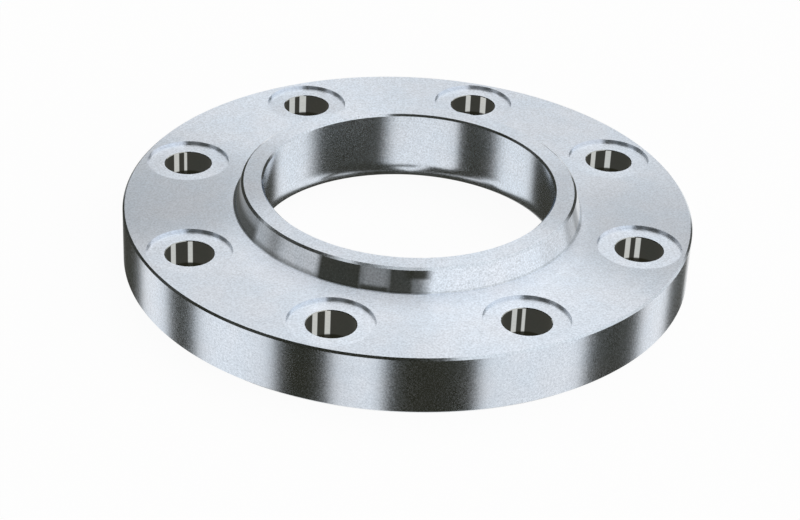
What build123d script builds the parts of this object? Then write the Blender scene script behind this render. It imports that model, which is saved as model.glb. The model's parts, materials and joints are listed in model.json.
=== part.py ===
from build123d import *

import os
from math import isclose, radians, tan

# A lap joint pipe flange: a drilled ring with a short hub, turned from one forging.
# It lies on its lap face at Z = 0, and the hub points up along +Z, the axis of the bore.
# All lengths are in millimetres.

# Bore, which slides over the stub end of the pipe
bore_diameter = 116.8
lap_radius = 11.1
bore_edge_chamfer = 0.8

# Ring
plate_thickness = 23.8
rim_chamfer = 0.8

# Hub
hub_rise = 9.5
hub_wall = 11.2
hub_draft = 15.0
hub_fillet = 0.8
hub_edge_chamfer = 0.8

# Bolt holes, set out from the foot of the hub, and the rim set out from the holes
bolt_count = 8
bolt_hole_diameter = 19.05
hub_to_bolts = 25.65
bolts_to_rim = 19.05
bolt_edge_chamfer = 0.25
spot_face_diameter = 33.5
spot_face_depth = 1.2

# Radii and heights that follow from the sizes above
bore_radius = bore_diameter / 2
hub_foot_radius = bore_radius + hub_wall
hub_nose_radius = hub_foot_radius - hub_rise * tan(radians(hub_draft))
bolt_circle_radius = hub_foot_radius + hub_to_bolts
flange_radius = bolt_circle_radius + bolts_to_rim
bolt_hole_radius = bolt_hole_diameter / 2
overall_height = plate_thickness + hub_rise

# The holes straddle the centre lines, as pipe flanges are drilled
first_bolt_angle = 180 / bolt_count

# Corners of the half section, as radius and height
lap_corner = (bore_radius, 0)
rim_bottom = (flange_radius, 0)
rim_top = (flange_radius, plate_thickness)
hub_foot = (hub_foot_radius, plate_thickness)
hub_nose = (hub_nose_radius, overall_height)
bore_mouth = (bore_radius, overall_height)

os.makedirs("parts", exist_ok=True)

with BuildPart() as flange:
    # The turned body is one half section spun about the axis of the bore
    with BuildSketch(Plane.XZ) as section:
        with BuildLine():
            Polyline(lap_corner, rim_bottom, rim_top, hub_foot, hub_nose, bore_mouth, close=True)
        make_face()

        def corner(point):
            return section.vertices().sort_by_distance(point)[0]

        fillet(corner(lap_corner), radius=lap_radius)
        fillet(corner(hub_foot), radius=hub_fillet)
        chamfer([corner(rim_bottom), corner(rim_top)], length=rim_chamfer)
        chamfer(corner(hub_nose), length=hub_edge_chamfer)
        chamfer(corner(bore_mouth), length=bore_edge_chamfer)
    revolve(axis=Axis.Z)

    # Each bolt hole is drilled through, with a shallow seat faced for the nut
    with Locations(Plane.XY.offset(plate_thickness)):
        with PolarLocations(bolt_circle_radius, bolt_count, start_angle=first_bolt_angle):
            CounterBoreHole(
                radius=bolt_hole_radius,
                counter_bore_radius=spot_face_diameter / 2,
                counter_bore_depth=spot_face_depth,
                depth=plate_thickness,
            )

    # Both mouths of every bolt hole are deburred
    hole_mouths = (
        flange.edges()
        .filter_by(GeomType.CIRCLE)
        .filter_by(lambda edge: isclose(edge.radius, bolt_hole_radius, abs_tol=1e-4))
    )
    chamfer(hole_mouths, length=bolt_edge_chamfer)

flange.part.label = "flange"
export_step(flange.part, "parts/flange.step")
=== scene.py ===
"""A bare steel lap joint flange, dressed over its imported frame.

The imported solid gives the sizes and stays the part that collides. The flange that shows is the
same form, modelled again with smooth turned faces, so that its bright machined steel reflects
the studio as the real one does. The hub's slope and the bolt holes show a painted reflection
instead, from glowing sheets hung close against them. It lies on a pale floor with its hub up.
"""

from __future__ import annotations

import json
import logging
import math
from dataclasses import dataclass
from enum import Enum

import bmesh
import bpy
from mathutils import Matrix, Vector

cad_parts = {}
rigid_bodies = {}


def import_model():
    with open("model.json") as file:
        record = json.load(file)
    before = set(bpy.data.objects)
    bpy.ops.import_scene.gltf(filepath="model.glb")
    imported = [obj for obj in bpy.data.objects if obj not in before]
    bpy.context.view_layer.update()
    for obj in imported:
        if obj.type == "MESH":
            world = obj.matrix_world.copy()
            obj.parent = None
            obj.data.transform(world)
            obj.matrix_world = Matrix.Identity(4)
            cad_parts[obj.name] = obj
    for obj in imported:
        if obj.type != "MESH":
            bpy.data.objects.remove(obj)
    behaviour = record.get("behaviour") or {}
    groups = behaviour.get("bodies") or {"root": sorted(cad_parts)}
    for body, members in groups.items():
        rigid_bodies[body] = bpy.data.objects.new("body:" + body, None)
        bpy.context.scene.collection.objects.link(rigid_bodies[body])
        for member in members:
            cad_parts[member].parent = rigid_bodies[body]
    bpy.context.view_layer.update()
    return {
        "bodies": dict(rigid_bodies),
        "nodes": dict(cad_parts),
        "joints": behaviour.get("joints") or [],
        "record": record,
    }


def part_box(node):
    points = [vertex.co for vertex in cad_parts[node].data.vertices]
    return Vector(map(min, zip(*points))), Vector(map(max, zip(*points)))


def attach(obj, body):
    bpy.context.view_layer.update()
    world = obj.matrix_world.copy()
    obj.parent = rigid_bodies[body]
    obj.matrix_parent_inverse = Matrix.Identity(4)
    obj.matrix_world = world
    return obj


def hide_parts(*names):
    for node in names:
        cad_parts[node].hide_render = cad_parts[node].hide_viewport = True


MM = 0.001
SHARP_ANGLE = math.radians(25)
FLAT_LIMIT = 0.9999
STEEP_LIMIT = 0.3

Socket = bpy.types.NodeSocket

log = logging.getLogger("flange_scene")


class Zone(Enum):
    """The differently machined zones of the flange, by material slot."""

    FACED = 0
    TURNED = 1
    BORED = 2
    DRILLED = 3
    SPOT_FACED = 4
    SPOT_WALL = 5
    EDGE = 6


@dataclass(frozen=True)
class Steel:
    """One machined finish of the same bare steel.

    Attributes:
        name: Name of the material.
        colour: Base colour, linear.
        roughness: Mean roughness.
        anisotropy: How far a highlight is drawn out across the tool marks.
        pitch: Distance between tool marks, in metres.
        depth: Height of the tool marks in the bump, in metres.
        grain: How strongly the fine grain shows in the colour.
        round_bolts: Whether the marks run round the bolt holes, and not round the bore.
    """

    name: str
    colour: tuple[float, float, float]
    roughness: float
    anisotropy: float
    pitch: float
    depth: float
    grain: float = 0.36
    round_bolts: bool = False


BRIGHT = (0.645, 0.700, 0.775)
LIGHT = (0.700, 0.755, 0.830)
# Darker steel for the chamfers and the hub's foot fillet: painted shade along the edges and at the hub's
# foot
EDGE_SHADE_TONE = (0.53, 0.58, 0.64)
# Darker steel for the bolt holes' walls: painted shade inside the holes
HOLE_SHADE_TONE = (0.38, 0.39, 0.38)
BORE_TONE = (0.615, 0.670, 0.740)
PALE = (0.78, 0.81, 0.85)
FINISHES = {
    Zone.FACED: Steel("faced_steel", LIGHT, 0.33, 0.95, 0.9 * MM, 0.003 * MM),
    Zone.TURNED: Steel("turned_steel", BRIGHT, 0.20, 0.60, 0.7 * MM, 0.002 * MM),
    Zone.BORED: Steel("bored_steel", BORE_TONE, 0.20, 0.60, 0.7 * MM, 0.002 * MM),
    Zone.DRILLED: Steel("drilled_steel", HOLE_SHADE_TONE, 0.07, 0.3, 0.5 * MM, 0.0005 * MM, 0.10, True),
    Zone.SPOT_FACED: Steel("spot_faced_steel", LIGHT, 0.36, 0.3, 0.8 * MM, 0.003 * MM, round_bolts=True),
    Zone.SPOT_WALL: Steel("spot_wall_steel", PALE, 0.15, 0.3, 0.5 * MM, 0.001 * MM, 0.10, True),
    Zone.EDGE: Steel("edge_steel", EDGE_SHADE_TONE, 0.14, 0.60, 0.7 * MM, 0.001 * MM),
}


class Graph:
    """A small helper that adds nodes to a tree and links them."""

    def __init__(self, tree: bpy.types.NodeTree) -> None:
        """Clears the tree and keeps it.

        Args:
            tree: Node tree of a material or of the world.
        """
        self.tree = tree
        tree.nodes.clear()

    def add(self, kind: str, inputs: dict | None = None, **settings: object) -> bpy.types.Node:
        """Adds one node.

        Args:
            kind: Node type, such as ShaderNodeMath.
            inputs: Socket name or number to a value or to another node's output socket.
            settings: Properties of the node itself.

        Returns:
            The new node.
        """
        node = self.tree.nodes.new(kind)
        for key, value in settings.items():
            setattr(node, key, value)
        for key, value in (inputs or {}).items():
            if isinstance(value, Socket):
                self.tree.links.new(value, node.inputs[key])
            else:
                node.inputs[key].default_value = value
        return node

    def math(self, operation: str, *values: object) -> Socket:
        """Adds a Math node.

        Args:
            operation: What it works out, such as ADD.
            values: Its inputs, each a value or another node's output socket.

        Returns:
            Socket with the result.
        """
        inputs = dict(enumerate(values))
        return self.add("ShaderNodeMath", inputs, operation=operation).outputs[0]

    def step(self, value: Socket, middle: float, width: float) -> Socket:
        """Adds a soft step from 0 to 1.

        Args:
            value: Socket that drives the step.
            middle: Value at half height.
            width: Width of the step.

        Returns:
            Socket with the step.
        """
        inputs = {0: value, 1: middle - width / 2, 2: middle + width / 2, 3: 0.0, 4: 1.0}
        return self.add("ShaderNodeMapRange", inputs, interpolation_type="SMOOTHSTEP").outputs[0]

    def ramp(self, value: Socket, stops: list[tuple[float, tuple]]) -> Socket:
        """Adds a colour ramp.

        Args:
            value: Socket that drives the ramp.
            stops: Positions and their colours, in rising order.

        Returns:
            The ramp's colour socket.
        """
        node = self.add("ShaderNodeValToRGB", {0: value})
        elements = node.color_ramp.elements
        while len(elements) < len(stops):
            elements.new(1.0)
        for element, (position, colour) in zip(elements, stops):
            element.position = position
            element.color = (*colour, 1.0)
        return node.outputs[0]


@dataclass
class SteelShader:
    """Builds the bare steel materials in the flange's own coordinates.

    Attributes:
        bolt_circle: Radius of the circle of bolt holes.
        bolt_count: Number of bolt holes.
        grain_scale: How fine the grain is.
        cloud_scale: How fine the slow clouds of a handled surface are.
        cut_scale: How quickly a tool mark changes along the cut.
        streaks: How strongly the tool marks show in the colour.
        gloss_spread: How far the grain varies the roughness.
        grain_depth: Height of the grain in the bump, in metres.
        cool: Tint of the cool clouds.
        warm: Tint of the warm ones.
    """

    bolt_circle: float
    bolt_count: int
    grain_scale: float = 1400.0
    cloud_scale: float = 60.0
    cut_scale: float = 2.2
    streaks: float = 0.10
    gloss_spread: float = 0.10
    grain_depth: float = 0.003 * MM
    cool: tuple[float, float, float] = (0.97, 0.99, 1.01)
    warm: tuple[float, float, float] = (1.01, 1.0, 1.0)

    def reach(self, graph: Graph, place: Socket) -> tuple[Socket, Socket, Socket, Socket]:
        """Finds a point's distance and bearing from the Z axis.

        Args:
            graph: Where the nodes go.
            place: Socket with the point.

        Returns:
            Sockets with the distance, the unit bearing's x and y, and the height.
        """
        across, along, height = graph.add("ShaderNodeSeparateXYZ", {0: place}).outputs
        flat = graph.add("ShaderNodeCombineXYZ", {0: across, 1: along, 2: 0.0}).outputs[0]
        distance = graph.add("ShaderNodeVectorMath", {0: flat}, operation="LENGTH").outputs["Value"]
        bearing_x = graph.math("DIVIDE", across, distance)
        bearing_y = graph.math("DIVIDE", along, distance)
        return distance, bearing_x, bearing_y, height

    def turn(self, graph: Graph, vector: Socket, angle: Socket) -> Socket:
        """Turns a vector round the Z axis.

        Args:
            graph: Where the nodes go.
            vector: Socket with the vector.
            angle: Socket with the angle, in radians.

        Returns:
            Socket with the turned vector.
        """
        inputs = {"Vector": vector, "Angle": angle}
        return graph.add("ShaderNodeVectorRotate", inputs, rotation_type="Z_AXIS").outputs[0]

    def from_hole(self, graph: Graph, place: Socket) -> tuple[Socket, Socket]:
        """Measures a point from the axis of the nearest bolt hole, with that hole turned to +X.

        Args:
            graph: Where the nodes go.
            place: Socket with the point.

        Returns:
            Sockets with the point from the hole's axis, and the bearing of the hole in radians.
        """
        sector = 2 * math.pi / self.bolt_count
        across, along, _ = graph.add("ShaderNodeSeparateXYZ", {0: place}).outputs
        snapped = graph.math("SNAP", graph.math("ARCTAN2", along, across), sector)
        hole_angle = graph.math("ADD", snapped, sector / 2)
        turned = self.turn(graph, place, graph.math("MULTIPLY", hole_angle, -1.0))
        inputs = {0: turned, 1: (self.bolt_circle, 0, 0)}
        centred = graph.add("ShaderNodeVectorMath", inputs, operation="SUBTRACT").outputs[0]
        return centred, hole_angle

    def tint(self, graph: Graph, finish: Steel, place: Socket, marks: Socket, grain: Socket) -> Socket:
        """Mixes the colour of a finish with its grain, its streaks and its slow clouds.

        Args:
            graph: Where the nodes go.
            finish: The finish.
            place: Socket with the point.
            marks: Socket with the tool marks.
            grain: Socket with the grain.

        Returns:
            Socket with the colour.
        """
        clouds = graph.add("ShaderNodeTexNoise", {
            "Vector": place, "Scale": self.cloud_scale, "Detail": 2.0}).outputs[0]
        speckle = graph.math("MULTIPLY", graph.math("SUBTRACT", grain, 0.5), finish.grain * 2)
        streaks = graph.math("MULTIPLY", graph.math("SUBTRACT", marks, 0.5), self.streaks)
        shade = graph.math("ADD", graph.math("ADD", speckle, streaks), 1.0)
        cool = tuple(level * share for level, share in zip(finish.colour, self.cool))
        warm = tuple(level * share for level, share in zip(finish.colour, self.warm))
        tint = graph.ramp(clouds, [(0.35, cool), (0.65, warm)])
        return graph.add("ShaderNodeVectorMath", {0: tint, "Scale": shade}, operation="SCALE").outputs[0]

    def material(self, finish: Steel) -> bpy.types.Material:
        """Makes one finish, with fine tool marks round the bore or round each bolt hole.

        Args:
            finish: The finish to make.

        Returns:
            The material.
        """
        material = bpy.data.materials.new(finish.name)
        material.use_nodes = True
        graph = Graph(material.node_tree)
        place = graph.add("ShaderNodeTexCoord").outputs["Object"]
        centred = place
        if finish.round_bolts:
            centred, hole_angle = self.from_hole(graph, place)
        distance, bearing_x, bearing_y, height = self.reach(graph, centred)

        # Tool marks vary quickly across the feed and slowly along the cut
        feed = graph.math("ADD", distance, height)
        marks_at = graph.add("ShaderNodeCombineXYZ", {
            0: graph.math("DIVIDE", feed, finish.pitch),
            1: graph.math("MULTIPLY", bearing_x, self.cut_scale),
            2: graph.math("MULTIPLY", bearing_y, self.cut_scale),
        }).outputs[0]
        marks = graph.add("ShaderNodeTexNoise", {
            "Vector": marks_at, "Scale": 1.0, "Detail": 2.0, "Roughness": 0.6}).outputs[0]
        grain = graph.add("ShaderNodeTexNoise", {
            "Vector": place, "Scale": self.grain_scale, "Detail": 1.0}).outputs[0]
        spread = graph.math("MULTIPLY", graph.math("SUBTRACT", grain, 0.5), self.gloss_spread)

        # A highlight is drawn out across the marks, at right angles to the cut
        cut = graph.add("ShaderNodeCombineXYZ", {
            0: graph.math("MULTIPLY", bearing_y, -1.0), 1: bearing_x, 2: 0.0}).outputs[0]
        if finish.round_bolts:
            cut = self.turn(graph, cut, hole_angle)
        facing = graph.add("ShaderNodeTexCoord").outputs["Normal"]
        across_cut = {0: facing, 1: cut}
        tangent = graph.add("ShaderNodeVectorMath", across_cut, operation="CROSS_PRODUCT").outputs[0]

        relief = graph.math("ADD", graph.math("MULTIPLY", marks, finish.depth),
                            graph.math("MULTIPLY", grain, self.grain_depth))
        bump = graph.add("ShaderNodeBump", {"Height": relief, "Distance": 1.0, "Strength": 1.0})
        shader = graph.add("ShaderNodeBsdfPrincipled", {
            "Base Color": self.tint(graph, finish, place, marks, grain),
            "Metallic": 1.0,
            "Roughness": graph.math("ADD", spread, finish.roughness),
            "Anisotropic": finish.anisotropy,
            "Tangent": tangent,
            "Normal": bump.outputs[0],
        })
        graph.add("ShaderNodeOutputMaterial", {0: shader.outputs[0]})
        return material


@dataclass(frozen=True)
class Corner:
    """One corner of a half section.

    Attributes:
        radius: Distance from the axis.
        height: Height above the lap face.
        setback: Length cut from both sides of the corner, or 0 for a sharp one.
        facets: Number of facets across the cut: 1 is a chamfer, more are a rounding.
    """

    radius: float
    height: float
    setback: float = 0.0
    facets: int = 1


def section_loop(mesh: bmesh.types.BMesh, corners: list[Corner], closed: bool) -> None:
    """Draws a half section in the XZ plane and cuts its corners.

    Args:
        mesh: An empty bmesh.
        corners: The section's corners in order.
        closed: Whether the last corner joins the first.
    """
    points = [mesh.verts.new((corner.radius, 0.0, corner.height)) for corner in corners]
    for first, second in zip(points, points[1:]):
        mesh.edges.new((first, second))
    if closed:
        mesh.edges.new((points[-1], points[0]))
    for point, corner in zip(points, corners):
        if corner.setback:
            bmesh.ops.bevel(
                mesh, geom=[point], offset=corner.setback, offset_type="OFFSET",
                segments=corner.facets, profile=0.5, affect="VERTICES",
                clamp_overlap=False, material=-1,
            )


def spin_section(mesh: bmesh.types.BMesh, steps: int) -> None:
    """Turns the drawn section into a closed surface round the Z axis.

    Args:
        mesh: The bmesh with the drawn section.
        steps: Facets round the axis.
    """
    bmesh.ops.spin(
        mesh, geom=mesh.verts[:] + mesh.edges[:], cent=(0, 0, 0), axis=(0, 0, 1),
        angle=2 * math.pi, steps=steps, use_merge=True, use_duplicate=False,
    )
    bmesh.ops.remove_doubles(mesh, verts=mesh.verts, dist=1e-7)
    bmesh.ops.recalc_face_normals(mesh, faces=mesh.faces)


def to_object(mesh: bmesh.types.BMesh, name: str) -> bpy.types.Object:
    """Turns a bmesh into an object in the scene.

    Args:
        mesh: The bmesh, which is freed.
        name: Name of the object and of its mesh.

    Returns:
        The object, at the origin.
    """
    data = bpy.data.meshes.new(name)
    mesh.to_mesh(data)
    mesh.free()
    thing = bpy.data.objects.new(name, data)
    bpy.context.collection.objects.link(thing)
    return thing


@dataclass
class Flange:
    """The visible flange. Lengths are in metres.

    Attributes:
        rim_radius: Radius of the rim.
        overall_height: Height of the hub's nose over the lap face.
        bore_radius: Radius of the bore.
        bolt_circle: Radius of the circle of bolt holes.
        bolt_hole_radius: Radius of a bolt hole.
        bolt_count: Number of bolt holes.
        plate_thickness: Thickness of the ring outside the hub.
        hub_wall: Thickness of the hub at its foot.
        hub_draft: Slope of the hub from upright, in radians.
        hub_fillet: Radius of the fillet at the hub's foot.
        lap_radius: Radius of the rounding at the bore's lower edge.
        rim_chamfer: Width of the rim's two chamfers.
        hub_chamfer: Width of the chamfer at the hub's nose.
        bore_chamfer: Width of the chamfer at the bore's mouth.
        bolt_chamfer: Width of the chamfers at a bolt hole's mouths.
        spot_face_radius: Radius of a spot face.
        spot_face_depth: Depth of a spot face.
        rim_steps: Facets round the bore's axis.
        bolt_steps: Facets round a bolt hole.
        lap_facets: Facets across the rounding at the bore's lower edge.
        fillet_facets: Facets across the fillet at the hub's foot.
        support: Distance from a sharp edge to the extra loop beside it.
        short_edge: Length up to which an edge of the section gets no extra loops.
    """

    rim_radius: float
    overall_height: float
    bore_radius: float
    bolt_circle: float
    bolt_hole_radius: float
    bolt_count: int
    plate_thickness: float = 23.8 * MM
    hub_wall: float = 11.2 * MM
    hub_draft: float = math.radians(15)
    hub_fillet: float = 0.8 * MM
    lap_radius: float = 11.1 * MM
    rim_chamfer: float = 0.8 * MM
    hub_chamfer: float = 0.8 * MM
    bore_chamfer: float = 0.8 * MM
    bolt_chamfer: float = 0.25 * MM
    spot_face_radius: float = 16.75 * MM
    spot_face_depth: float = 1.2 * MM
    rim_steps: int = 360
    bolt_steps: int = 96
    lap_facets: int = 18
    fillet_facets: int = 10
    support: float = 0.25 * MM
    short_edge: float = 2 * MM

    @classmethod
    def from_frame(cls, frame: dict) -> Flange:
        """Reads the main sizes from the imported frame.


        Returns:
            The flange with the frame's sizes.
        """
        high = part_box("flange")[1]
        mounts = {mount["name"]: mount["dims"] for mount in frame["record"]["mounts"]}
        bolts = mounts["bolt_holes"]
        return cls(
            rim_radius=high[0],
            overall_height=high[2],
            bore_radius=mounts["pipe_bore"]["r_mm"] * MM,
            bolt_circle=bolts["pcd_mm"] / 2 * MM,
            bolt_hole_radius=bolts["hole_r_mm"] * MM,
            bolt_count=bolts["count"],
        )

    @property
    def sector(self) -> float:
        """Angle from one bolt hole to the next."""
        return 2 * math.pi / self.bolt_count

    @property
    def hub_foot(self) -> float:
        """Radius of the hub's foot, as if it had no fillet."""
        return self.bore_radius + self.hub_wall

    @property
    def foot_setback(self) -> float:
        """Length that the fillet at the hub's foot cuts from the plate and from the slope."""
        return self.hub_fillet * math.tan((math.pi / 2 - self.hub_draft) / 2)

    def hub_slope(self) -> tuple[tuple[float, float], tuple[float, float]]:
        """Finds the ends of the hub's slope, between its fillet and its chamfer.

        Returns:
            Radius and height of the lower end and of the upper end.
        """
        slant = math.tan(self.hub_draft)
        low = self.foot_setback * math.cos(self.hub_draft)
        high = self.overall_height - self.plate_thickness - self.hub_chamfer
        foot = self.hub_foot
        return (
            (foot - low * slant, self.plate_thickness + low),
            (foot - high * slant, self.plate_thickness + high),
        )

    def body_corners(self) -> list[Corner]:
        """Lists the corners of the turned section.

        Returns:
            The corners, from the lap corner outwards and up.
        """
        nose = self.hub_foot - (self.overall_height - self.plate_thickness) * math.tan(self.hub_draft)
        return [
            Corner(self.bore_radius, 0.0, self.lap_radius, self.lap_facets),
            Corner(self.rim_radius, 0.0, self.rim_chamfer),
            Corner(self.rim_radius, self.plate_thickness, self.rim_chamfer),
            Corner(self.hub_foot, self.plate_thickness, self.foot_setback, self.fillet_facets),
            Corner(nose, self.overall_height, self.hub_chamfer),
            Corner(self.bore_radius, self.overall_height, self.bore_chamfer),
        ]

    def turned_body(self) -> bpy.types.Object:
        """Spins the section into the ring with its hub, before it is drilled.

        Returns:
            The ring.
        """
        mesh = bmesh.new()
        section_loop(mesh, self.body_corners(), closed=True)
        self.support_roundings(mesh)
        spin_section(mesh, self.rim_steps)
        return to_object(mesh, "flange_steel")

    def support_roundings(self, mesh: bmesh.types.BMesh) -> None:
        """Splits each long straight edge close to its ends, so that flats shade flat.

        Args:
            mesh: The drawn section.
        """
        for edge in [edge for edge in mesh.edges if edge.calc_length() > self.short_edge]:
            share = self.support / edge.calc_length()
            parts = bmesh.ops.bisect_edges(mesh, edges=[edge], cuts=1, edge_percents={edge: share})
            halves = [item for item in parts["geom_split"] if isinstance(item, bmesh.types.BMEdge)]
            rest = max(halves, key=lambda item: item.calc_length())
            bmesh.ops.bisect_edges(mesh, edges=[rest], cuts=1, edge_percents={rest: share})
            bmesh.ops.bisect_edges(mesh, edges=[rest], cuts=1, edge_percents={rest: 1 - share})

    def hole_centres(self) -> list[Vector]:
        """Lists the centres of the bolt holes, which straddle the axes.

        Returns:
            The centres in the lap face, in order of their bearing.
        """
        first = Vector((self.bolt_circle, 0.0, 0.0))
        turns = [self.sector * (index + 0.5) for index in range(self.bolt_count)]
        return [Matrix.Rotation(turn, 3, "Z") @ first for turn in turns]

    def bolt_cutter(self) -> bpy.types.Object:
        """Makes the solid that all the bolt holes and spot faces take away.

        Returns:
            The solid.
        """
        past = 1.0 * MM
        wall = self.bolt_hole_radius
        mouth = wall + self.bolt_chamfer
        floor = self.plate_thickness - self.spot_face_depth
        mesh = bmesh.new()
        section_loop(mesh, [
            Corner(0.0, -past),
            Corner(mouth + past, -past),
            Corner(wall, self.bolt_chamfer),
            Corner(wall, floor - self.bolt_chamfer),
            Corner(mouth, floor),
            Corner(self.spot_face_radius, floor),
            Corner(self.spot_face_radius, self.plate_thickness + past),
            Corner(0.0, self.plate_thickness + past),
        ], closed=False)
        spin_section(mesh, self.bolt_steps)
        bmesh.ops.translate(mesh, verts=mesh.verts, vec=(self.bolt_circle, 0, 0))
        first = mesh.verts[:] + mesh.edges[:] + mesh.faces[:]
        turn = Matrix.Rotation(self.sector / 2, 3, "Z")
        bmesh.ops.rotate(mesh, verts=mesh.verts, cent=(0, 0, 0), matrix=turn)
        for index in range(1, self.bolt_count):
            copy = bmesh.ops.duplicate(mesh, geom=first)["geom"]
            verts = [item for item in copy if isinstance(item, bmesh.types.BMVert)]
            turn = Matrix.Rotation(self.sector * index, 3, "Z")
            bmesh.ops.rotate(mesh, verts=verts, cent=(0, 0, 0), matrix=turn)
        return to_object(mesh, "bolt_cutter")

    def drill(self, body: bpy.types.Object) -> None:
        """Takes the bolt holes and their spot faces out of the body.

        Args:
            body: The turned body, whose mesh is replaced.
        """
        cutter = self.bolt_cutter()
        cut = body.modifiers.new("bolt_holes", "BOOLEAN")
        cut.operation = "DIFFERENCE"
        cut.solver = "EXACT"
        cut.object = cutter
        graph = bpy.context.evaluated_depsgraph_get()
        drilled = bpy.data.meshes.new_from_object(body.evaluated_get(graph))
        plain = body.data
        body.modifiers.clear()
        body.data = drilled
        drilled.name = body.name
        bpy.data.meshes.remove(plain)
        bpy.data.meshes.remove(cutter.data)

    def zone_of(self, centre: Vector, normal: Vector) -> Zone:
        """Tells how a facet was machined, from its place.

        Args:
            centre: Centre of the facet.
            normal: Its outward normal.

        Returns:
            The facet's zone.
        """
        slack = 0.02 * MM
        faces = (0.0, self.plate_thickness, self.overall_height)
        if any(abs(centre.z - face) < slack for face in faces):
            return Zone.FACED
        angle = (math.atan2(centre.y, centre.x) % self.sector) - self.sector / 2
        reach = math.hypot(centre.x, centre.y)
        to_hole = math.hypot(reach * math.cos(angle) - self.bolt_circle, reach * math.sin(angle))
        if to_hole < self.bolt_hole_radius + self.bolt_chamfer + slack:
            return Zone.DRILLED
        if to_hole < self.spot_face_radius + slack:
            return Zone.SPOT_FACED if normal.z > FLAT_LIMIT else Zone.SPOT_WALL
        if normal.z > STEEP_LIMIT or (normal.z < -STEEP_LIMIT and reach > self.bolt_circle):
            return Zone.EDGE
        inward = normal.x * centre.x + normal.y * centre.y < 0
        return Zone.BORED if inward else Zone.TURNED

    def dress(self, body: bpy.types.Object) -> None:
        """Gives every facet the finish of its zone and shades it smooth between sharp edges.

        Args:
            body: The drilled body.
        """
        shader = SteelShader(self.bolt_circle, self.bolt_count)
        body.data.materials.clear()
        for zone in Zone:
            body.data.materials.append(shader.material(FINISHES[zone]))
        body.data.shade_smooth()
        body.data.set_sharp_from_angle(angle=SHARP_ANGLE)
        for facet in body.data.polygons:
            facet.material_index = self.zone_of(facet.center, facet.normal).value
            facet.use_smooth = abs(facet.normal.z) < FLAT_LIMIT

    def build(self) -> None:
        """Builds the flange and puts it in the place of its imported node."""
        body = self.turned_body()
        self.drill(body)
        self.dress(body)
        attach(body, "root")
        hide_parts("flange")
        log.info("%s: %d facets", body.name, len(body.data.polygons))


@dataclass(frozen=True)
class Card:
    """A dark card of the studio, as a patch of the surroundings that steel sees.

    Heights are elevations in degrees for the far surroundings, and millimetres for the patches on
    a round card that hangs near the flange. On the cards that hug the hub and the bolt holes, the
    patches are a painted reflection.

    Attributes:
        start: Bearing where it starts, in degrees round Z from +X.
        end: Bearing where it ends.
        level: How bright the patch is against the open surroundings.
        edges: Width of its soft edge at the start and at the end, in degrees.
        low: Height of its foot.
        high: Height of its top.
        fade: Width of its soft top and foot.
    """

    start: float
    end: float
    level: float
    edges: tuple[float, float] = (6.0, 6.0)
    low: float = -90.0
    high: float = 90.0
    fade: float = 10.0

    def inside(self, graph: Graph, bearing: Socket, height: Socket) -> Socket:
        """Adds nodes for how far a direction lies inside the patch.

        Args:
            graph: Where the nodes go.
            bearing: Socket with the bearing in degrees.
            height: Socket with the height.

        Returns:
            Socket that is 1 inside and 0 outside.
        """
        middle = (self.start + self.end) / 2
        half = (self.end - self.start) / 2
        offset = graph.math("WRAP", graph.math("SUBTRACT", bearing, middle), 180.0, -180.0)
        before = graph.step(offset, -half, self.edges[0])
        after = graph.step(graph.math("MULTIPLY", offset, -1.0), -half, self.edges[1])
        share = graph.math("MULTIPLY", before, after)
        under = graph.step(graph.math("MULTIPLY", height, -1.0), -self.high, self.fade)
        share = graph.math("MULTIPLY", share, under)
        if self.low <= -90.0:
            return share
        return graph.math("MULTIPLY", share, graph.step(height, self.low, self.fade))


@dataclass(frozen=True)
class PaintedHoleReflection:
    """The painted reflection in one bolt hole: two bright strips on its dark far wall, with painted shade
    beside and below them.

    The sides of a strip are told across the hole as seen from the front, from -1 at its left to 1.

    Attributes:
        left: Sides of the left strip.
        right: Sides of the right strip.
        dark: Level of the painted shade on the wall beside the strips.
        darkest: Level of the painted shade that the wall falls to below them.
        slit: Bearings where the strip on the near wall starts and ends, from the middle of that wall.
    """

    left: tuple[float, float]
    right: tuple[float, float]
    dark: float = 0.05
    darkest: float = 0.03
    slit: tuple[float, float] = (-8.0, 12.0)

    def cards(self, ahead: float, foot: float) -> tuple[Card, ...]:
        """Lists the patches of painted shade between, beside and below the painted strips.

        Args:
            ahead: Bearing of the middle of the far wall, in degrees round the hole.
            foot: Height of the strips' lower ends, in millimetres.

        Returns:
            The cards.
        """
        left_end, left_start = (ahead - 90 + math.degrees(math.acos(side)) for side in self.left)
        right_end, right_start = (ahead - 90 + math.degrees(math.acos(side)) for side in self.right)
        near = (left_end + right_start) / 2 + 180
        crisp = (2.0, 2.0)
        seam = (1.0, 1.0)
        return (
            Card(right_end, left_start, self.dark, crisp),
            Card(left_end, near + self.slit[0], self.dark, crisp),
            Card(near + self.slit[1], right_start + 360, self.dark, crisp),
            Card(-180, 180, self.darkest, seam, high=foot, fade=0.8),
        )


# Below the horizon, as the rim sees the studio
TABLE_CARDS = (
    Card(77, 105, 0.20, (6, 4), low=-50, high=-20, fade=8),
    Card(102, 132, 0.02, (4, 7), low=-50, high=-18, fade=8),
    Card(155, 173, 0.0, (6, 6), low=-60, high=-12, fade=8),
    Card(212, 236, 0.0, (6, 6), low=-60, high=-12, fade=8),
    Card(257, 295, 0.0, (7, 6), low=-60, high=-12, fade=8),
    Card(342, 374, 0.02, (6, 6), low=-60, high=-12, fade=8),
    Card(36, 62, 0.02, (6, 5), low=-45, high=-26, fade=6),
)
# Round the horizon and over it, as the slope of the hub sees it
HORIZON_CARDS = (
    Card(74, 153, 0.20, (8, 6), low=-24, high=-5, fade=8),
    Card(178, 208, 0.60, (6, 6), low=-16, high=16, fade=8),
    Card(206, 236, 0.0, (5, 4), low=-16, high=70),
    Card(235.0, 253.5, 0.12, (4, 4), low=-16, high=70),
    Card(253.0, 278.5, 0.0, (4, 6), low=-16, high=70),
)
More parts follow.
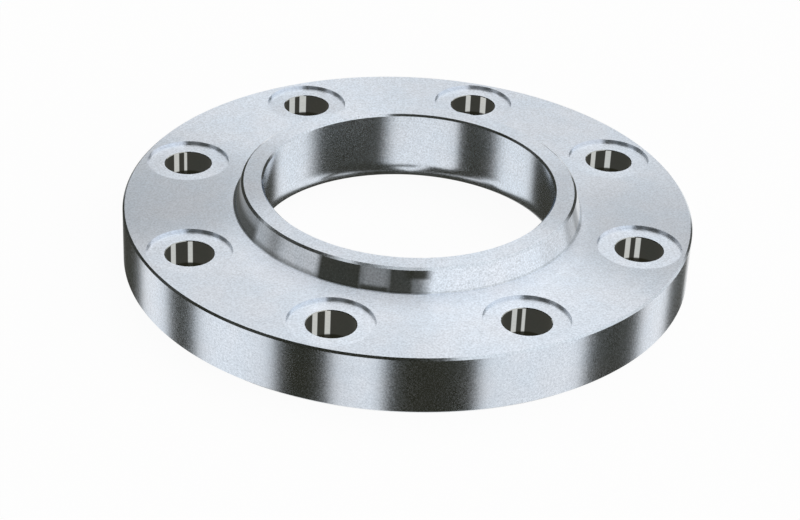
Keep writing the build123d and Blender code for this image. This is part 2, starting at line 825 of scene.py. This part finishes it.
# Above the horizon, as the plate and the chamfers see it
WALL_CARDS = (
    Card(94, 150, 0.03, (10, 8), low=-6, high=33, fade=4),
    Card(66, 95, 0.30, (6, 6), low=-6, high=23, fade=8),
    Card(36, 66, 0.05, (10, 10), low=-6, high=38, fade=6),
    Card(145, 182, 0.04, (8, 8), low=8, high=58, fade=8),
    Card(166, 214, 0.02, (8, 8), low=28, high=62, fade=6),
    Card(204, 290, 0.02, (8, 10), low=49, high=72, fade=6),
)
# Steeply below, as the rounded lower edge of the bore sees it
STEEP_CARDS = (
    Card(47, 71, 0.02, (8, 8), high=-42, fade=6),
    Card(99, 166, 0.02, (8, 8), high=-42, fade=6),
    Card(186, 246, 0.02, (18, 8), high=-42, fade=6),
    Card(10, 46, 0.02, (8, 8), high=-42, fade=6),
    Card(282, 350, 0.02, (16, 22), high=-42, fade=6),
    Card(-6, 174, 0.05, (10, 10), high=-70, fade=6),
)
# Below the bore, as its wall sees the round card there
BORE_CARDS = (
    Card(64, 123, 0.02, (18, 14)),
    Card(172, 216, 0.02, (22, 5)),
    Card(287, 369, 0.02, (20, 28)),
)
# Painted reflection in the bolt holes: bright strips on glowing sheets with painted shade beside and below
# them, round their circle from +X
PAINTED_HOLE_REFLECTIONS = (
    PaintedHoleReflection((-0.77, -0.58), (-0.16, 0.08)),
    PaintedHoleReflection((-0.33, -0.12), (0.33, 0.58)),
    PaintedHoleReflection((-0.77, -0.53), (-0.32, -0.03)),
    PaintedHoleReflection((-0.60, -0.39), (-0.17, -0.05)),
    PaintedHoleReflection((-0.74, -0.55), (-0.06, 0.13)),
    PaintedHoleReflection((-0.72, -0.53), (-0.24, -0.03)),
    PaintedHoleReflection((-0.60, -0.41), (-0.21, -0.08)),
    PaintedHoleReflection((-0.58, -0.38), (-0.18, 0.03)),
)
# Painted reflection on the slope of the hub: light and dark patches of a glowing sheet that hugs it, round
# its own axis
PAINTED_HUB_REFLECTION_CARDS = (
    Card(148, 204, 0.30, (4, 4)),
    Card(148, 204, 0.25, (4, 4), high=28.8, fade=4.0),
    Card(203, 218, 0.46, (3, 8)),
    Card(212, 234.5, 0.58, (8, 3)),
    Card(204, 234.5, 0.55, (4, 3), high=25.2, fade=1.4),
    Card(234.0, 249.8, 0.02, (3, 3)),
    Card(249.0, 258.8, 0.24, (3, 3)),
    Card(249.0, 258.8, 0.10, (3, 3), high=25.6, fade=1.6),
    Card(258.0, 267.5, 0.03, (3, 5)),
    Card(266.5, 271.0, 0.30, (3, 5)),
    Card(264.0, 271.5, 0.08, (4, 4), low=29.2, fade=1.5),
    Card(314.0, 334.0, 0.84, (6, 6)),
    Card(330.0, 342.0, 0.60, (6, 4)),
    Card(340.0, 346.0, 0.50, (4, 4)),
    Card(344.0, 376.0, 0.75, (4, 6)),
    Card(20, 46, 0.05, (6, 4)),
    Card(88, 120, 0.05, (4, 8)),
)


@dataclass
class Studio:
    """Floor, cards and light round the object, and the glowing sheets that paint reflections on the hub and
    in the bolt holes.

    Attributes:
        flange: The flange that it lights.
        viewpoint: Where the photograph was taken from.
        floor_size: Width of the floor.
        floor_tone: Grey of the floor.
        floor_glow: Share of plain white that the camera sees of the floor.
        light: Colour of the light.
        gloom: Faint light that is left where the cards are.
        dome_level: How bright the light is high up, against that from the sides.
        dome_start: Elevation where the brighter dome starts, in degrees.
        dome_fade: Width of its soft edge.
        bore_card_radius: Radius of the round card below the bore.
        bore_card_reach: Heights of its foot and its top.
        hub_painted_reflection_card_gap: Distance of the hub's card from the slope.
        hub_painted_reflection_card_veil: Share of plain light on the outside of the hub's card.
        hole_painted_reflection_card_gap: Distance of a hole's card from its wall.
        hole_painted_reflection_card_strength: How bright the strips are.
        hole_painted_reflection_card_foot: Height of the strips over the deepest point that shows, in
            millimetres.
    """

    flange: Flange
    viewpoint: Vector
    floor_size: float = 8.0
    floor_tone: float = 0.95
    floor_glow: float = 0.95
    light: tuple[float, float, float] = (1.08, 1.07, 1.06)
    gloom: tuple[float, float, float] = (0.032, 0.031, 0.020)
    dome_level: float = 1.14
    dome_start: float = 34.0
    dome_fade: float = 16.0
    bore_card_radius: float = 120 * MM
    bore_card_reach: tuple[float, float] = (-180 * MM, -25 * MM)
    hub_painted_reflection_card_gap: float = 0.8 * MM
    hub_painted_reflection_card_veil: float = 0.6
    hole_painted_reflection_card_gap: float = 0.15 * MM
    hole_painted_reflection_card_strength: float = 1.25
    hole_painted_reflection_card_foot: float = 1.8

    def card_light(self, graph: Graph, cards: tuple[Card, ...], bearing: Socket, height: Socket) -> Socket:
        """Multiplies cards into the light.

        Args:
            graph: Where the nodes go.
            cards: The cards.
            bearing: Socket with the bearing in degrees.
            height: Socket with the height, in the cards' unit.

        Returns:
            Socket with the light's level.
        """
        level = None
        for card in cards:
            share = graph.math("MULTIPLY", card.inside(graph, bearing, height), card.level - 1.0)
            factor = graph.math("ADD", share, 1.0)
            level = factor if level is None else graph.math("MULTIPLY", level, factor)
        return level

    def coloured(self, graph: Graph, level: Socket) -> Socket:
        """Turns a level into the light's colour over the gloom.

        Args:
            graph: Where the nodes go.
            level: Socket with the level.

        Returns:
            Socket with the colour.
        """
        inputs = {0: self.light, "Scale": level}
        scaled = graph.add("ShaderNodeVectorMath", inputs, operation="SCALE").outputs[0]
        return graph.add("ShaderNodeVectorMath", {0: scaled, 1: self.gloom}, operation="ADD").outputs[0]

    def light_world(self) -> None:
        """Lights the scene from all round, with cards at the sides."""
        world = bpy.data.worlds.new("studio")
        bpy.context.scene.world = world
        world.use_nodes = True
        graph = Graph(world.node_tree)
        direction = graph.add("ShaderNodeTexCoord").outputs["Generated"]
        split = graph.add("ShaderNodeSeparateXYZ", {0: direction})
        bearing = graph.math("DEGREES", graph.math("ARCTAN2", split.outputs[1], split.outputs[0]))
        height = graph.math("DEGREES", graph.math("ARCSINE", split.outputs[2]))
        cards = TABLE_CARDS + HORIZON_CARDS + WALL_CARDS + STEEP_CARDS
        level = self.card_light(graph, cards, bearing, height)
        high_up = graph.step(height, self.dome_start, self.dome_fade)
        dome = graph.math("MULTIPLY", high_up, self.dome_level - 1.0)
        level = graph.math("MULTIPLY", level, graph.math("ADD", dome, 1.0))
        is_camera = graph.add("ShaderNodeLightPath").outputs["Is Camera Ray"]
        colour = graph.add("ShaderNodeMix", {0: is_camera, 6: self.coloured(graph, level), 7: (1, 1, 1, 1)},
                           data_type="RGBA").outputs[2]
        background = graph.add("ShaderNodeBackground", {0: colour, 1: 1.0})
        graph.add("ShaderNodeOutputWorld", {0: background.outputs[0]})

    def card_material(
        self, name: str, cards: tuple[Card, ...], strength: float = 1.0, veil: float = 0.0,
    ) -> bpy.types.Material:
        """Makes a card's material, which glows on the side that its mesh faces and is clear behind.

        Args:
            name: Name of the material.
            cards: Dark patches of the pattern, by bearing round Z and by height in millimetres.
            strength: How bright the card is as a whole.
            veil: Share of plain light on its back.

        Returns:
            The material.
        """
        material = bpy.data.materials.new(name)
        material.use_nodes = True
        graph = Graph(material.node_tree)
        split = graph.add("ShaderNodeSeparateXYZ", {0: graph.add("ShaderNodeTexCoord").outputs["Object"]})
        bearing = graph.math("DEGREES", graph.math("ARCTAN2", split.outputs[1], split.outputs[0]))
        height = graph.math("DIVIDE", split.outputs[2], MM)
        level = self.card_light(graph, cards, bearing, height)
        glow = graph.add("ShaderNodeEmission", {0: self.coloured(graph, level), 1: strength}).outputs[0]
        clear = graph.add("ShaderNodeBsdfTransparent").outputs[0]
        if veil:
            plain = graph.add("ShaderNodeEmission", {0: (*self.light, 1.0), 1: 1.0}).outputs[0]
            clear = graph.add("ShaderNodeMixShader", {0: veil, 1: clear, 2: plain}).outputs[0]
        behind = graph.add("ShaderNodeNewGeometry").outputs["Backfacing"]
        mix = graph.add("ShaderNodeMixShader", {0: behind, 1: glow, 2: clear}).outputs[0]
        graph.add("ShaderNodeOutputMaterial", {0: mix})
        material.cycles.emission_sampling = "NONE"
        return material

    def hang_card(
        self, material: bpy.types.Material, bottom: tuple[float, float], top: tuple[float, float],
        place: Vector, inward: bool,
    ) -> None:
        """Hangs an open round card that is seen only as a reflection in steel.

        Args:
            material: Its material, whose name it takes.
            bottom: Radius and height of its lower edge.
            top: Radius and height of its upper edge.
            place: Where its origin goes.
            inward: Whether it faces its own axis.
        """
        mesh = bmesh.new()
        bmesh.ops.create_cone(
            mesh, cap_ends=False, segments=180, radius1=bottom[0], radius2=top[0], depth=top[1] - bottom[1],
        )
        bmesh.ops.translate(mesh, verts=mesh.verts, vec=(0, 0, (top[1] + bottom[1]) / 2))
        if inward:
            bmesh.ops.reverse_faces(mesh, faces=mesh.faces)
        card = to_object(mesh, material.name)
        card.data.materials.append(material)
        card.location = place
        card.visible_camera = False
        card.visible_diffuse = False
        card.visible_transmission = False
        card.visible_shadow = False

    def hang_bore_card(self) -> None:
        """Hangs the card below the bore, which the bore's wall reflects."""
        radius = self.bore_card_radius
        foot, top = self.bore_card_reach
        material = self.card_material("bore_card", BORE_CARDS)
        self.hang_card(material, (radius, foot), (radius, top), Vector((0, 0, 0)), inward=True)

    def hang_hub_painted_reflection_card(self) -> None:
        """Hangs a glowing sheet close round the hub's slope, from the plate up to the nose, which paints a
        reflection of light and dark patches on it.
        """
        foot, nose = self.flange.hub_slope()
        ground = self.flange.plate_thickness + 0.02 * MM
        reach = foot[0] + (foot[1] - ground) * math.tan(self.flange.hub_draft)
        # The sheet paints the hub's reflection, and its glowing outside veil paints light on the plate
        # nearby
        material = self.card_material("hub_painted_reflection_card", PAINTED_HUB_REFLECTION_CARDS, veil=self.hub_painted_reflection_card_veil)
        bottom = (reach + self.hub_painted_reflection_card_gap, ground)
        top = (nose[0] + self.hub_painted_reflection_card_gap, nose[1])
        self.hang_card(material, bottom, top, Vector((0, 0, 0)), inward=True)

    def hang_hole_painted_reflection_cards(self) -> None:
        """Lines each bolt hole with a glowing sheet close to its wall, which paints the bright strips and
        the shade of the wall's reflection.
        """
        flange = self.flange
        radius = flange.bolt_hole_radius - self.hole_painted_reflection_card_gap
        mouth = flange.plate_thickness - flange.spot_face_depth - flange.bolt_chamfer
        for hole, strips in zip(flange.hole_centres(), PAINTED_HOLE_REFLECTIONS):
            away = hole - self.viewpoint
            ahead = math.degrees(math.atan2(away.y, away.x))
            fall = (self.viewpoint.z - mouth) / math.hypot(away.x, away.y)
            foot = (mouth - 2 * flange.bolt_hole_radius * fall) / MM + self.hole_painted_reflection_card_foot
            # The sheet paints the hole's reflection: bright strips over painted shade
            material = self.card_material("hole_painted_reflection_card", strips.cards(ahead, foot), self.hole_painted_reflection_card_strength)
            self.hang_card(material, (radius, flange.bolt_chamfer), (radius, mouth), hole, inward=False)

    def lay_floor(self) -> None:
        """Lays the pale floor, which keeps a light shadow of the object."""
        mesh = bmesh.new()
        bmesh.ops.create_grid(mesh, x_segments=1, y_segments=1, size=self.floor_size / 2)
        floor = to_object(mesh, "floor")
        material = bpy.data.materials.new("pale_floor")
        material.use_nodes = True
        graph = Graph(material.node_tree)
        tone = (self.floor_tone, self.floor_tone, self.floor_tone, 1)
        matt = graph.add("ShaderNodeBsdfDiffuse", {0: tone}).outputs[0]
        lit = graph.add("ShaderNodeEmission", {0: (1, 1, 1, 1), 1: 1.0}).outputs[0]
        is_camera = graph.add("ShaderNodeLightPath").outputs["Is Camera Ray"]
        share = graph.math("MULTIPLY", is_camera, self.floor_glow)
        mix = graph.add("ShaderNodeMixShader", {0: share, 1: matt, 2: lit}).outputs[0]
        graph.add("ShaderNodeOutputMaterial", {0: mix})
        floor.data.materials.append(material)
        floor.visible_glossy = False

    def build(self) -> None:
        """Sets up the light, the floor and the cards."""
        self.light_world()
        self.lay_floor()
        self.hang_bore_card()
        # Glowing sheets close against the hub and in the bolt holes paint reflections on the steel
        self.hang_hub_painted_reflection_card()
        self.hang_hole_painted_reflection_cards()
        log.info("studio ready")


@dataclass
class Camera:
    """The photograph's point of view.

    Attributes:
        bearing: Turn round Z from straight in front, in radians.
        elevation: Height over the floor as an angle.
        distance: Distance from the flange's origin.
        aim: Point that the camera looks at.
        roll: Turn round its own axis.
        lens: Focal length, in millimetres.
        sensor: Width of the sensor, in millimetres.
    """

    bearing: float = math.radians(-6.56)
    elevation: float = math.radians(30.76)
    distance: float = 919.4 * MM
    aim: tuple[float, float, float] = (-5.03 * MM, -25.27 * MM, 12.0 * MM)
    roll: float = math.radians(2.765)
    lens: float = 101.33
    sensor: float = 36.0

    def place(self) -> Vector:
        """Finds where the camera stands.

        Returns:
            The place, in metres.
        """
        return self.distance * Vector((
            math.sin(self.bearing) * math.cos(self.elevation),
            -math.cos(self.bearing) * math.cos(self.elevation),
            math.sin(self.elevation),
        ))

    def build(self) -> None:
        """Puts the camera in the scene."""
        data = bpy.data.cameras.new("camera")
        data.lens = self.lens
        data.sensor_width = self.sensor
        data.sensor_fit = "HORIZONTAL"
        data.clip_end = 100.0
        camera = bpy.data.objects.new("camera", data)
        bpy.context.collection.objects.link(camera)
        place = self.place()
        level = (Vector(self.aim) - place).to_track_quat("-Z", "Y").to_matrix().to_4x4()
        camera.matrix_world = Matrix.Translation(place) @ level @ Matrix.Rotation(self.roll, 4, "Z")
        bpy.context.scene.camera = camera


def main() -> None:
    """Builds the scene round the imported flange."""
    logging.basicConfig(level=logging.INFO)
    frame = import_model()
    scene = bpy.context.scene
    scene.view_settings.view_transform = "Standard"
    flange = Flange.from_frame(frame)
    flange.build()
    camera = Camera()
    Studio(flange, camera.place()).build()
    camera.build()


if __name__ == "__main__":
    main()
